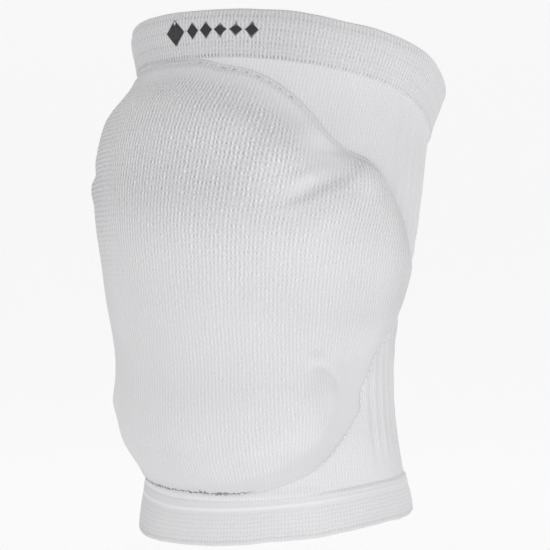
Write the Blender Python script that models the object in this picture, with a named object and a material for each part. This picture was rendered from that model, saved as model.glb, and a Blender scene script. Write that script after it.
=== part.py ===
"""A knitted volleyball knee pad in the form that it has on a slightly bent leg.

Metres, +Z up the leg, -Y to the front of the knee, +X to the side that the pad's right wing wraps.
The origin is on the leg's axis at the height of the kneecap.

Every surface is laid out on the leg: an angle round it from the front of the knee, a height along
its bent axis, and a distance outwards from the outside of the knitted sleeve.
"""

import math
from collections import namedtuple

import bmesh
import bpy
import numpy as np

# Leg that the sleeve is shaped on
THIGH_LENGTH = 0.1000
CALF_LENGTH = 0.1050
THIGH_RADIUS = 0.0695
KNEE_RADIUS = 0.0625
SHIN_RADIUS = 0.0555
CALF_RADIUS = 0.0605
THIGH_LEAN = math.radians(9.7)
CALF_LEAN = math.radians(4.6)
BEND_LENGTH = 0.048

# Knitted tube and its two cuffs
SLEEVE_WALL = 0.0018
CUFF_WALL = 0.0030
THIGH_CUFF_HEIGHT = 0.0194
CALF_CUFF_HEIGHT = 0.0180
HEM_DROP = 0.0025
RIM_SAG = 0.0027
RIM_SAG_ANGLE = math.radians(-32)
RIM_SAG_REACH = math.radians(48)
SEAM_GAP = 0.0004
JOIN_GAP = 0.0003
POCKET_GAP = 0.0005

# Ribs behind the knee
RIB_DEPTH = 0.0010
RIB_COUNT = 26
RIB_ZONE = math.radians(88)
RIB_FADE = 0.012

# Padded pocket over the front and sides of the knee
POCKET_KNIT = 0.0013
FOAM_THICKNESS = 0.0160
FOAM_ROLL = 0.0150
FOAM_EDGE = 0.24
SEAM_BAND = 0.0085
CREASE_WIDTH = 0.0080
WING_ANGLE = math.radians(117)

# Mesh steps
FRONT_COLUMNS = 16
SLEEVE_ROWS = 21
CUFF_COLUMNS = 48
CUFF_ROUND_STEPS = 4
POCKET_ROWS = 31
POCKET_COLUMNS = 37
OUTLINE_STEPS = 6

Section = namedtuple("Section", "reach radius width front back")
LEG_SECTIONS = (
    Section(-1.00, CALF_RADIUS, 0.98, 1.06, 0.96),
    Section(-0.78, CALF_RADIUS, 0.94, 0.97, 0.89),
    Section(-0.50, SHIN_RADIUS, 0.99, 1.01, 0.95),
    Section(-0.20, SHIN_RADIUS, 1.03, 1.02, 1.02),
    Section(0.14, KNEE_RADIUS, 0.99, 0.97, 1.03),
    Section(0.43, KNEE_RADIUS, 1.03, 1.02, 1.03),
    Section(0.75, THIGH_RADIUS, 0.94, 0.96, 0.93),
    Section(0.96, THIGH_RADIUS, 1.03, 1.04, 1.00),
)

Rim = namedtuple("Rim", "degrees thigh calf")
RIMS = (
    Rim(0, 1.004, 1.000),
    Rim(30, 1.012, 0.992),
    Rim(60, 1.011, 0.984),
    Rim(90, 0.990, 0.986),
    Rim(120, 0.918, 1.010),
    Rim(150, 0.860, 1.042),
    Rim(180, 0.838, 1.050),
)

Seam = namedtuple("Seam", "height left right")
POCKET_SEAM = (
    Seam(1.000, 0.390, 0.120),
    Seam(0.976, 0.450, 0.190),
    Seam(0.960, 0.472, 0.265),
    Seam(0.928, 0.492, 0.330),
    Seam(0.878, 0.520, 0.391),
    Seam(0.822, 0.540, 0.443),
    Seam(0.757, 0.567, 0.490),
    Seam(0.688, 0.597, 0.534),
    Seam(0.634, 0.640, 0.583),
    Seam(0.604, 0.680, 0.650),
    Seam(0.560, 0.735, 0.708),
    Seam(0.497, 0.795, 0.768),
    Seam(0.378, 0.880, 0.855),
    Seam(0.260, 0.945, 0.935),
    Seam(0.080, 1.000, 1.000),
    Seam(-0.070, 1.000, 1.000),
    Seam(-0.180, 0.980, 0.980),
    Seam(-0.285, 0.930, 0.920),
    Seam(-0.350, 0.870, 0.860),
    Seam(-0.400, 0.830, 0.820),
    Seam(-0.470, 0.790, 0.793),
    Seam(-0.520, 0.768, 0.762),
    Seam(-0.575, 0.752, 0.748),
    Seam(-0.645, 0.735, 0.746),
    Seam(-0.700, 0.705, 0.708),
    Seam(-0.770, 0.660, 0.658),
    Seam(-0.872, 0.560, 0.573),
    Seam(-0.935, 0.470, 0.475),
    Seam(-0.983, 0.390, 0.350),
    Seam(-1.000, 0.320, 0.230),
)

FOAM_OUTLINE = (
    Seam(0.905, 0.00, 0.00),
    Seam(0.893, 0.22, 0.12),
    Seam(0.830, 0.38, 0.28),
    Seam(0.718, 0.46, 0.385),
    Seam(0.586, 0.485, 0.45),
    Seam(0.449, 0.475, 0.455),
    Seam(0.340, 0.41, 0.41),
    Seam(0.412, 0.49, 0.49),
    Seam(0.500, 0.55, 0.55),
    Seam(0.572, 0.61, 0.60),
    Seam(0.568, 0.66, 0.65),
    Seam(0.530, 0.71, 0.70),
    Seam(0.462, 0.775, 0.755),
    Seam(0.368, 0.84, 0.825),
    Seam(0.250, 0.91, 0.90),
    Seam(0.107, 0.955, 0.955),
    Seam(-0.040, 0.955, 0.955),
    Seam(-0.180, 0.93, 0.93),
    Seam(-0.290, 0.87, 0.86),
    Seam(-0.345, 0.78, 0.77),
    Seam(-0.372, 0.66, 0.65),
    Seam(-0.395, 0.50, 0.50),
    Seam(-0.450, 0.565, 0.555),
    Seam(-0.540, 0.615, 0.60),
    Seam(-0.640, 0.61, 0.595),
    Seam(-0.750, 0.55, 0.54),
    Seam(-0.845, 0.45, 0.445),
    Seam(-0.915, 0.32, 0.32),
    Seam(-0.955, 0.15, 0.15),
    Seam(-0.962, 0.00, 0.00),
)

Foam = namedtuple("Foam", "height front side")
FOAM_SECTIONS = (
    Foam(-1.00, 0.45, 0.50),
    Foam(-0.64, 0.84, 0.60),
    Foam(-0.48, 0.82, 0.55),
    Foam(-0.35, 0.62, 0.48),
    Foam(-0.20, 0.80, 0.52),
    Foam(0.08, 0.92, 0.57),
    Foam(0.29, 1.06, 0.58),
    Foam(0.54, 1.04, 0.58),
    Foam(1.00, 0.60, 0.50),
)
FOAM_FRONT_ANGLE = math.radians(38)
FOAM_SIDE_ANGLE = math.radians(92)

# Creases pressed into the padding: degrees round the knee, millimetres up it and millimetres deep
Crease = namedtuple("Crease", "degrees height depth")
UPPER_RIGHT_CREASE = (
    Crease(44.0, 24.5, 0.0),
    Crease(48.0, 26.0, 0.9),
    Crease(53.0, 27.8, 1.9),
    Crease(59.0, 32.6, 2.3),
    Crease(64.8, 36.4, 2.0),
    Crease(69.0, 40.2, 1.4),
    Crease(73.5, 46.0, 0.7),
    Crease(77.0, 49.0, 0.0),
)
UPPER_LEFT_CREASE = (
    Crease(-42.0, 27.0, 0.0),
    Crease(-49.0, 28.0, 1.4),
    Crease(-57.0, 32.0, 2.1),
    Crease(-64.0, 37.0, 1.9),
    Crease(-71.0, 42.5, 1.0),
    Crease(-77.0, 47.0, 0.0),
)
LOWER_RIGHT_CREASE = (
    Crease(57.0, -32.5, 0.0),
    Crease(62.0, -33.6, 0.8),
    Crease(65.5, -36.0, 1.2),
    Crease(68.5, -39.7, 0.9),
    Crease(69.5, -44.5, 0.0),
)
LOWER_LEFT_CREASE = (
    Crease(-55.0, -31.5, 0.0),
    Crease(-61.0, -33.5, 0.9),
    Crease(-66.0, -37.0, 1.2),
    Crease(-69.0, -42.0, 0.6),
    Crease(-70.0, -46.0, 0.0),
)
CREASES = (UPPER_RIGHT_CREASE, UPPER_LEFT_CREASE, LOWER_RIGHT_CREASE, LOWER_LEFT_CREASE)


def smooth_step(x):
    x = np.clip(x, 0.0, 1.0)
    return x * x * (3.0 - 2.0 * x)


def hump(x):
    """One at zero, falling smoothly to nothing at plus and minus one."""
    return smooth_step(1.0 - np.abs(x))


def smooth_through(x, xs, ys):
    """A smooth curve through the points (xs, ys), level past its ends."""
    xs, ys = np.asarray(xs, float), np.asarray(ys, float)
    slope = np.gradient(ys, xs)
    i = np.clip(np.searchsorted(xs, x) - 1, 0, len(xs) - 2)
    span = xs[i + 1] - xs[i]
    t = np.clip((x - xs[i]) / span, 0.0, 1.0)
    rise = ys[i + 1] - ys[i]
    return (
        ys[i]
        + rise * t * t * (3.0 - 2.0 * t)
        + span * t * (1.0 - t) * (slope[i] * (1.0 - t) - slope[i + 1] * t)
    )


def column(rows, name):
    return [getattr(row, name) for row in rows]


# Leg

AXIS_MARGIN = 0.02
AXIS_HEIGHTS = np.linspace(-CALF_LENGTH - AXIS_MARGIN, THIGH_LENGTH + AXIS_MARGIN, 500)


def lean_at(height):
    """How far the leg's axis leans back at a height along it."""
    share = smooth_step((height + BEND_LENGTH) / (2.0 * BEND_LENGTH))
    return -CALF_LEAN + (CALF_LEAN + THIGH_LEAN) * share


def run_along_axis(direction):
    """The distance run from the knee's centre in one direction, at each of AXIS_HEIGHTS."""
    step = AXIS_HEIGHTS[1] - AXIS_HEIGHTS[0]
    run = np.cumsum(direction) * step
    return run - np.interp(0.0, AXIS_HEIGHTS, run)


AXIS_BACK = run_along_axis(np.sin(lean_at(AXIS_HEIGHTS)))
AXIS_UP = run_along_axis(np.cos(lean_at(AXIS_HEIGHTS)))


def section_at(height):
    """Half width, front depth and back depth of the sleeve's outside at a height."""
    reach = np.where(height > 0, height / THIGH_LENGTH, height / CALF_LENGTH)
    sizes = []
    for name in ("width", "front", "back"):
        values = [row.radius * getattr(row, name) for row in LEG_SECTIONS]
        sizes.append(smooth_through(reach, column(LEG_SECTIONS, "reach"), values))
    return sizes


def leg_points(angle, height, out):
    """Points on the leg: angle from the front, height along the axis, distance out of the sleeve."""
    angle, height, out = np.broadcast_arrays(angle, height, out)
    width, front, back = section_at(height)
    depth = np.where(np.cos(angle) > 0, front, back)
    across, ahead = width * np.sin(angle), depth * np.cos(angle)
    normal_across, normal_ahead = depth * np.sin(angle), width * np.cos(angle)
    length = np.hypot(normal_across, normal_ahead)
    across = across + out * normal_across / length
    ahead = ahead + out * normal_ahead / length
    lean = lean_at(height)
    y = np.interp(height, AXIS_HEIGHTS, AXIS_BACK) - ahead * np.cos(lean)
    z = np.interp(height, AXIS_HEIGHTS, AXIS_UP) + ahead * np.sin(lean)
    return np.stack([across, y, z], axis=-1)


def rim_share(angle, name):
    turn = np.abs((np.asarray(angle, float) + math.pi) % (2.0 * math.pi) - math.pi)
    return smooth_through(np.degrees(turn), column(RIMS, "degrees"), column(RIMS, name))


def thigh_rim(angle):
    return THIGH_LENGTH * rim_share(angle, "thigh")


def calf_rim(angle):
    return -CALF_LENGTH * rim_share(angle, "calf") - rim_sag(angle)


def rim_sag(angle):
    """How far the calf rim hangs lower on the left of the shin."""
    return RIM_SAG * hump((np.asarray(angle, float) - RIM_SAG_ANGLE) / RIM_SAG_REACH)


def thigh_cuff_edge(angle):
    return thigh_rim(angle) - THIGH_CUFF_HEIGHT


def calf_cuff_edge(angle):
    """The calf cuff's edge toward the knee, which keeps level where the rim sags."""
    return calf_rim(angle) + rim_sag(angle) + CALF_CUFF_HEIGHT


# Solids

def finish_object(name, bm, material):
    bmesh.ops.recalc_face_normals(bm, faces=bm.faces)
    mesh = bpy.data.meshes.new(name)
    bm.to_mesh(mesh)
    bm.free()
    mesh.materials.append(material)
    mesh.shade_smooth()
    item = bpy.data.objects.new(name, mesh)
    bpy.context.scene.collection.objects.link(item)
    return item


def add_grid(bm, points):
    return [[bm.verts.new(point) for point in row] for row in points]


def add_quad(bm, a, b, c, d):
    bm.faces.new((a, b, c))
    bm.faces.new((a, c, d))


def band_solid(name, rings, material):
    """A closed band round the leg. The rings run up its outside and back down its inside."""
    bm = bmesh.new()
    grid = add_grid(bm, rings)
    for row, above in zip(grid, grid[1:] + grid[:1]):
        for i in range(len(row)):
            j = (i + 1) % len(row)
            add_quad(bm, row[i], row[j], above[j], above[i])
    return finish_object(name, bm, material)


def padded_solid(name, outside, inside, material):
    """A closed pad of two like grids, joined round their edge."""
    bm = bmesh.new()
    outer, inner = add_grid(bm, outside), add_grid(bm, inside)
    rows, columns = len(outer), len(outer[0])
    for grid, turn in ((outer, 1), (inner, -1)):
        for low, high in zip(grid, grid[1:]):
            for i in range(columns - 1):
                corners = (low[i], low[i + 1], high[i + 1], high[i])[::turn]
                add_quad(bm, *corners)
    edge = [(0, i) for i in range(columns - 1)]
    edge += [(j, columns - 1) for j in range(rows - 1)]
    edge += [(rows - 1, i) for i in range(columns - 1, 0, -1)]
    edge += [(j, 0) for j in range(rows - 1, 0, -1)]
    for (j, i), (m, n) in zip(edge, edge[1:] + edge[:1]):
        add_quad(bm, outer[m][n], outer[j][i], inner[j][i], inner[m][n])
    return finish_object(name, bm, material)


def knit_material(name, colour, roughness):
    material = bpy.data.materials.new(name)
    material.use_nodes = True
    shader = material.node_tree.nodes["Principled BSDF"]
    shader.inputs["Base Color"].default_value = (*colour, 1.0)
    shader.inputs["Roughness"].default_value = roughness
    shader.inputs["Metallic"].default_value = 0.0
    return material


# Sleeve and cuffs

def sleeve_columns():
    """Angles round the sleeve: even at the front, a crest and a valley for each rib at the back."""
    front_edge = math.pi - RIB_ZONE
    front = np.linspace(-front_edge, front_edge, FRONT_COLUMNS, endpoint=False)
    back = np.linspace(front_edge, 2 * math.pi - front_edge, 2 * RIB_COUNT, endpoint=False)
    crest = np.concatenate([np.zeros(FRONT_COLUMNS), np.arange(2 * RIB_COUNT) % 2])
    return np.concatenate([front, back]), crest


def build_sleeve(material):
    angles, valley = sleeve_columns()
    bottom = calf_cuff_edge(angles) + JOIN_GAP
    top = thigh_cuff_edge(angles) - JOIN_GAP
    outside, inside = [], []
    for share in np.linspace(0.0, 1.0, SLEEVE_ROWS):
        height = bottom + (top - bottom) * share
        fade = smooth_step((height - bottom) / RIB_FADE) * smooth_step((top - height) / RIB_FADE)
        outside.append(leg_points(angles, height, -RIB_DEPTH * valley * fade))
        inside.append(leg_points(angles, height, -SLEEVE_WALL))
    return band_solid("knit_sleeve", outside + inside[::-1], material)


def build_cuff(name, rim, edge, toward_knee, material):
    """A doubled elastic band from the rim towards the knee, with its rim and its edge rounded."""
    angles = np.linspace(-math.pi, math.pi, CUFF_COLUMNS, endpoint=False)
    round_radius = CUFF_WALL / 2.0
    middle = round_radius - SLEEVE_WALL
    rings = []
    for end, side in ((edge(angles), toward_knee), (rim(angles), -toward_knee)):
        centre = end - side * round_radius
        turn = np.linspace(-math.pi / 2, math.pi / 2, CUFF_ROUND_STEPS)
        for step in turn if side == toward_knee else turn[::-1]:
            height = centre + side * round_radius * math.cos(step)
            rings.append(leg_points(angles, height, middle + round_radius * math.sin(step)))
    return band_solid(name, rings, material)


# Padded pocket

def pocket_ends():
    """Heights of the pocket's top and bottom seams, clear of both cuffs."""
    top_angles = WING_ANGLE * np.array([-POCKET_SEAM[0].left, 0.0, POCKET_SEAM[0].right])
    low_angles = WING_ANGLE * np.array([-POCKET_SEAM[-1].left, 0.0, POCKET_SEAM[-1].right])
    top = np.min(thigh_cuff_edge(top_angles)) - SEAM_GAP
    bottom = np.max(calf_cuff_edge(low_angles)) + HEM_DROP + SEAM_GAP
    return top, bottom


def height_of(share):
    """A height from its share of the pocket's reach above or below the knee."""
    top, bottom = pocket_ends()
    share = np.asarray(share, float)
    return np.where(share > 0, share * top, -share * bottom)


def outline_curve(rows, steps):
    """Share of height, left angle and right angle along a smooth line through a table's rows."""
    at = np.linspace(0.0, len(rows) - 1.0, steps)
    index = np.arange(len(rows))
    return [smooth_through(at, index, column(rows, name)) for name in ("height", "left", "right")]


def flat_plan(angle, height):
    """The leg's surface laid flat, for measuring how far a point is inside the foam."""
    return angle * KNEE_RADIUS, height


def foam_depth(angle, height):
    """Distance inside the foam's outline, negative outside it."""
    share, left, right = outline_curve(FOAM_OUTLINE, OUTLINE_STEPS * len(FOAM_OUTLINE))
    heights = height_of(share)
    side_x = np.concatenate([right * WING_ANGLE, -left[::-1][1:-1] * WING_ANGLE])
    side_y = np.concatenate([heights, heights[::-1][1:-1]])
    x, y = flat_plan(side_x, side_y)
    px, py = flat_plan(np.asarray(angle, float), np.asarray(height, float))
    nearest = np.full(px.shape, np.inf)
    inside = np.zeros(px.shape, bool)
    for ax, ay, bx, by in zip(x, y, np.roll(x, -1), np.roll(y, -1)):
        ex, ey = bx - ax, by - ay
        along = np.clip(((px - ax) * ex + (py - ay) * ey) / (ex * ex + ey * ey), 0.0, 1.0)
        nearest = np.minimum(nearest, np.hypot(px - ax - along * ex, py - ay - along * ey))
        if ay != by:
            crossed = (ay > py) != (by > py)
            inside ^= crossed & (px < ax + (py - ay) * ex / ey)
    return np.where(inside, nearest, -nearest)


def full_foam(angle, height):
    """The foam's thickness away from its edges, thinner on the wings than in front."""
    heights = height_of(column(FOAM_SECTIONS, "height"))
    front = smooth_through(height, heights, column(FOAM_SECTIONS, "front"))
    side = smooth_through(height, heights, column(FOAM_SECTIONS, "side"))
    turn = (np.abs(angle) - FOAM_FRONT_ANGLE) / (FOAM_SIDE_ANGLE - FOAM_FRONT_ANGLE)
    return FOAM_THICKNESS * (front + (side - front) * smooth_step(turn))


def crease_dent(crease, angle, height):
    """How deep a crease presses in at points of the pocket."""
    at = np.linspace(0.0, len(crease) - 1.0, OUTLINE_STEPS * len(crease))
    index = np.arange(len(crease))
    degrees, millimetres, depth = (
        smooth_through(at, index, column(crease, name)) for name in ("degrees", "height", "depth")
    )
    path_x, path_y = flat_plan(np.radians(degrees), millimetres / 1000.0)
    x, y = flat_plan(angle, height)
    dent = np.zeros(x.shape)
    for k in range(len(at)):
        near = hump(np.hypot(x - path_x[k], y - path_y[k]) / CREASE_WIDTH)
        dent = np.maximum(dent, depth[k] / 1000.0 * near)
    return dent


def pocket_thickness(angle, height):
    """Knit and foam together: a rolled edge, then the knit drawn down over a band to the seam."""
    depth = foam_depth(angle, height)
    drawn = FOAM_EDGE * np.clip(1.0 + depth / SEAM_BAND, 0.0, 1.0) ** 2
    inward = np.clip(depth / FOAM_ROLL, 0.0, 1.0)
    rolled = FOAM_EDGE + (1.0 - FOAM_EDGE) * (1.0 - (1.0 - inward) ** 2.2)
    padding = np.where(depth > 0, rolled, drawn) * full_foam(angle, height)
    for crease in CREASES:
        padding = padding - crease_dent(crease, angle, height)
    return POCKET_KNIT + np.maximum(padding, 0.0)


def build_pocket(material):
    share, left, right = outline_curve(POCKET_SEAM[::-1], POCKET_ROWS)
    across = np.linspace(0.0, 1.0, POCKET_COLUMNS)[None, :]
    angle = WING_ANGLE * (-left[:, None] + (left + right)[:, None] * across)
    height = np.broadcast_to(height_of(share)[:, None], angle.shape)
    thickness = pocket_thickness(angle, height)
    outside = leg_points(angle, height, POCKET_GAP + thickness)
    inside = leg_points(angle, height, POCKET_GAP)
    return padded_solid("padded_pocket", outside, inside, material)


def main():
    for item in list(bpy.data.objects):
        bpy.data.objects.remove(item, do_unlink=True)
    knit = knit_material("white_knit", (0.80, 0.80, 0.81), 0.9)
    cover = knit_material("white_pad_knit", (0.78, 0.78, 0.79), 0.9)
    elastic = knit_material("white_elastic_knit", (0.76, 0.76, 0.76), 0.9)
    build_sleeve(knit)
    build_pocket(cover)
    build_cuff("thigh_cuff", thigh_rim, thigh_cuff_edge, -1, elastic)
    build_cuff("calf_cuff", calf_rim, calf_cuff_edge, 1, elastic)


main()
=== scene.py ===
"""The looks of a white knitted volleyball knee pad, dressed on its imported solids.

Everything is laid out on the leg that fills the sleeve: an angle round it from the front of the
knee, a height along its bent axis, and a distance out of the sleeve's outside.
"""

import math
from collections import namedtuple

import bmesh
import bpy
import numpy as np
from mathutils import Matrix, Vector

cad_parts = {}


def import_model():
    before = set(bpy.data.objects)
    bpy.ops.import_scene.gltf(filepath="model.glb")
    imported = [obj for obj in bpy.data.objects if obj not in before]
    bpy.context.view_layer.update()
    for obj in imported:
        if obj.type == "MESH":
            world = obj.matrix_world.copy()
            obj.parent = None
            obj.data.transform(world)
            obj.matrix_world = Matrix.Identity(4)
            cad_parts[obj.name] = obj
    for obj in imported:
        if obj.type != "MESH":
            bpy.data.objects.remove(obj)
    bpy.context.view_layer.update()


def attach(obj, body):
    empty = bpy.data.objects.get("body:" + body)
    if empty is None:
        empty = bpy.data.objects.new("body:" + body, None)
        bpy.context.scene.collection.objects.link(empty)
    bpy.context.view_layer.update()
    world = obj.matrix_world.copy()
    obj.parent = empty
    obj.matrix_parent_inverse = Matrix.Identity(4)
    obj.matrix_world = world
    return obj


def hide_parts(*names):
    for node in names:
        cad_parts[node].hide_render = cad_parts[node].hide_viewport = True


# Leg that the sleeve is shaped on
THIGH_LENGTH = 0.1000
CALF_LENGTH = 0.1050
THIGH_RADIUS = 0.0695
KNEE_RADIUS = 0.0625
SHIN_RADIUS = 0.0555
CALF_RADIUS = 0.0605
THIGH_LEAN = math.radians(9.7)
CALF_LEAN = math.radians(4.6)
BEND_LENGTH = 0.048

# Knitted tube and its two cuffs
SLEEVE_WALL = 0.0018
CUFF_WALL = 0.0030
THIGH_CUFF_HEIGHT = 0.0194
CALF_CUFF_HEIGHT = 0.0180
SEAM_GAP = 0.0004
HEM_DROP = 0.0012
RIM_SAG = 0.0027
RIM_SAG_ANGLE = math.radians(-32)
RIM_SAG_REACH = math.radians(48)

# Ribs behind the knee
RIB_DEPTH = 0.0011
RIB_COUNT = 26
RIB_ZONE = math.radians(88)
RIB_FADE = 0.012

# Padded pocket over the front and sides of the knee
POCKET_KNIT = 0.0013
FOAM_THICKNESS = 0.0160
FOAM_ROLL = 0.0150
FOAM_EDGE = 0.24
WING_ANGLE = math.radians(117)

# Knit: loops round the leg, metres between rows of loops, and how they lie on the bent knee
WALES = 272
POCKET_COURSE = 0.00192
SLEEVE_COURSE = 0.00170
CUFF_COURSE = 0.00168
KNIT_TWIST = 1.30
TWIST_START = 0.015
BENT_COURSES = 0.0060
BENT_REACH = 0.030

Section = namedtuple("Section", "reach radius width front back")
LEG_SECTIONS = (
    Section(-1.00, CALF_RADIUS, 0.98, 1.06, 0.96),
    Section(-0.78, CALF_RADIUS, 0.94, 0.97, 0.89),
    Section(-0.50, SHIN_RADIUS, 0.99, 1.01, 0.95),
    Section(-0.20, SHIN_RADIUS, 1.03, 1.02, 1.02),
    Section(0.14, KNEE_RADIUS, 0.99, 0.97, 1.03),
    Section(0.43, KNEE_RADIUS, 1.03, 1.02, 1.03),
    Section(0.75, THIGH_RADIUS, 0.94, 0.96, 0.93),
    Section(0.96, THIGH_RADIUS, 1.03, 1.04, 1.00),
)

Rim = namedtuple("Rim", "degrees thigh calf")
RIMS = (
    Rim(0, 1.004, 1.000),
    Rim(30, 1.012, 0.992),
    Rim(60, 1.011, 0.984),
    Rim(90, 0.990, 0.986),
    Rim(120, 0.918, 1.010),
    Rim(150, 0.860, 1.042),
    Rim(180, 0.838, 1.050),
)

Seam = namedtuple("Seam", "height left right")
POCKET_SEAM = (
    Seam(1.000, 0.390, 0.120),
    Seam(0.976, 0.450, 0.190),
    Seam(0.960, 0.472, 0.265),
    Seam(0.928, 0.492, 0.330),
    Seam(0.878, 0.520, 0.391),
    Seam(0.822, 0.540, 0.443),
    Seam(0.757, 0.567, 0.490),
    Seam(0.688, 0.597, 0.534),
    Seam(0.634, 0.640, 0.592),
    Seam(0.604, 0.680, 0.672),
    Seam(0.560, 0.735, 0.728),
    Seam(0.497, 0.795, 0.778),
    Seam(0.378, 0.880, 0.855),
    Seam(0.260, 0.945, 0.935),
    Seam(0.080, 1.000, 1.000),
    Seam(-0.070, 1.000, 1.000),
    Seam(-0.180, 0.980, 0.980),
    Seam(-0.285, 0.930, 0.920),
    Seam(-0.350, 0.870, 0.860),
    Seam(-0.400, 0.830, 0.820),
    Seam(-0.470, 0.790, 0.793),
    Seam(-0.520, 0.768, 0.762),
    Seam(-0.575, 0.752, 0.748),
    Seam(-0.645, 0.735, 0.746),
    Seam(-0.700, 0.705, 0.708),
    Seam(-0.770, 0.660, 0.658),
    Seam(-0.872, 0.560, 0.573),
    Seam(-0.935, 0.470, 0.475),
    Seam(-0.983, 0.390, 0.350),
    Seam(-1.000, 0.320, 0.230),
)

FOAM_OUTLINE = (
    Seam(0.905, 0.00, 0.00),
    Seam(0.893, 0.22, 0.12),
    Seam(0.830, 0.38, 0.28),
    Seam(0.718, 0.46, 0.385),
    Seam(0.586, 0.485, 0.45),
    Seam(0.449, 0.475, 0.455),
    Seam(0.340, 0.41, 0.41),
    Seam(0.412, 0.49, 0.49),
    Seam(0.500, 0.55, 0.55),
    Seam(0.572, 0.61, 0.61),
    Seam(0.574, 0.66, 0.67),
    Seam(0.540, 0.71, 0.72),
    Seam(0.470, 0.775, 0.772),
    Seam(0.368, 0.84, 0.838),
    Seam(0.250, 0.91, 0.90),
    Seam(0.107, 0.955, 0.955),
    Seam(-0.040, 0.955, 0.955),
    Seam(-0.180, 0.93, 0.93),
    Seam(-0.290, 0.87, 0.86),
    Seam(-0.345, 0.78, 0.77),
    Seam(-0.370, 0.66, 0.66),
    Seam(-0.390, 0.53, 0.53),
    Seam(-0.440, 0.58, 0.585),
    Seam(-0.540, 0.615, 0.60),
    Seam(-0.640, 0.61, 0.595),
    Seam(-0.750, 0.55, 0.54),
    Seam(-0.845, 0.45, 0.445),
    Seam(-0.915, 0.32, 0.32),
    Seam(-0.955, 0.15, 0.15),
    Seam(-0.962, 0.00, 0.00),
)

Foam = namedtuple("Foam", "height front side")
FOAM_SECTIONS = (
    Foam(-1.00, 0.45, 0.50),
    Foam(-0.64, 0.84, 0.60),
    Foam(-0.48, 0.82, 0.55),
    Foam(-0.35, 0.62, 0.48),
    Foam(-0.20, 0.80, 0.52),
    Foam(0.08, 0.92, 0.57),
    Foam(0.29, 1.06, 0.58),
    Foam(0.54, 1.04, 0.58),
    Foam(1.00, 0.60, 0.50),
)
FOAM_FRONT_ANGLE = math.radians(38)
FOAM_SIDE_ANGLE = math.radians(92)

# Creases pressed into the padding: degrees round the knee, millimetres up it and millimetres deep
Crease = namedtuple("Crease", "degrees height depth")
UPPER_RIGHT_CREASE = (
    Crease(44.0, 24.5, 0.0),
    Crease(48.0, 26.0, 0.9),
    Crease(53.0, 27.8, 1.9),
    Crease(59.0, 32.6, 2.3),
    Crease(64.8, 36.4, 2.0),
    Crease(69.0, 40.2, 1.4),
    Crease(73.5, 46.0, 0.7),
    Crease(77.0, 49.0, 0.0),
)
UPPER_LEFT_CREASE = (
    Crease(-28.0, 34.0, 0.0),
    Crease(-34.0, 34.8, 0.7),
    Crease(-41.0, 35.6, 1.2),
    Crease(-49.0, 36.8, 1.6),
    Crease(-57.0, 38.5, 2.0),
    Crease(-64.0, 41.5, 1.7),
    Crease(-71.0, 45.0, 0.9),
    Crease(-77.0, 48.0, 0.0),
)
WING_CREASE = (
    Crease(55.0, 46.4, 0.0),
    Crease(59.5, 47.4, 0.4),
    Crease(65.0, 48.5, 0.6),
    Crease(70.0, 49.0, 0.5),
    Crease(75.0, 48.6, 0.3),
    Crease(79.0, 47.4, 0.0),
)
LOWER_RIGHT_CREASE = (
    Crease(58.0, -31.6, 0.0),
    Crease(62.0, -32.5, 1.3),
    Crease(65.5, -33.5, 2.0),
    Crease(69.0, -35.8, 1.9),
    Crease(71.5, -39.2, 1.2),
    Crease(72.5, -43.5, 0.0),
)
LOWER_LEFT_CREASE = (
    Crease(-55.0, -31.5, 0.0),
    Crease(-61.0, -33.0, 0.9),
    Crease(-66.0, -35.5, 1.4),
    Crease(-69.5, -39.5, 0.9),
    Crease(-71.0, -44.5, 0.0),
)
CREASE_LOBE_WIDTH = 0.0068
CREASE_WING_WIDTH = 0.0026

# Each crease, and the side of its path on which the lobe lies that it eases off over
CREASES = (
    (UPPER_RIGHT_CREASE, 1),
    (UPPER_LEFT_CREASE, -1),
    (WING_CREASE, 1),
    (LOWER_RIGHT_CREASE, -1),
    (LOWER_LEFT_CREASE, 1),
)

# Soft local rises and hollows beside the creases: reach and rise in millimetres
Swell = namedtuple("Swell", "degrees height reach rise")
SWELLS = (
    Swell(52.6, 33.2, 4.6, 1.3),
    Swell(56.4, 35.8, 4.4, 1.1),
    Swell(63.0, 43.0, 6.0, -0.8),
    Swell(-40.0, 29.5, 8.0, 2.0),
    Swell(-38.0, -30.0, 6.5, -1.6),
    Swell(-38.0, -50.0, 9.0, 1.2),
    Swell(-52.0, 42.5, 5.0, 0.7),
    Swell(62.0, -29.2, 4.2, 1.1),
    Swell(67.0, -52.0, 9.0, -0.8),
    Swell(-62.0, -29.4, 4.2, 0.8),
    Swell(-66.0, -52.0, 9.0, -0.7),
)

# Settling of the cover as cloth
CLOTH_SCALE = 10.0
CLOTH_STRETCH = 0.01
CLOTH_FRAMES = 20
CLOTH_REACH = 0.003
CLOTH_THINNING = 2
CLOTH_CLEARANCE = 0.0009
CLOTH_SEAM_PIN = 0.0015
CLOTH_CREASE_PIN = 0.0003


# Curves

def smooth_step(x):
    x = np.clip(x, 0.0, 1.0)
    return x * x * (3.0 - 2.0 * x)


def ease(x, start, end):
    """Nothing at start and one at end, smooth between; the end may be the smaller."""
    return smooth_step((x - start) / (end - start))


def hump(x):
    """One at zero, falling smoothly to nothing at plus and minus one."""
    return smooth_step(1.0 - np.abs(x))


def smooth_through(x, xs, ys):
    """A smooth curve through the points (xs, ys), level past its ends."""
    xs, ys = np.asarray(xs, float), np.asarray(ys, float)
    slope = np.gradient(ys, xs)
    i = np.clip(np.searchsorted(xs, x) - 1, 0, len(xs) - 2)
    span = xs[i + 1] - xs[i]
    t = np.clip((x - xs[i]) / span, 0.0, 1.0)
    rise = ys[i + 1] - ys[i]
    return (
        ys[i]
        + rise * t * t * (3.0 - 2.0 * t)
        + span * t * (1.0 - t) * (slope[i] * (1.0 - t) - slope[i + 1] * t)
    )


def column(rows, name):
    return [getattr(row, name) for row in rows]


# Leg

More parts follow.
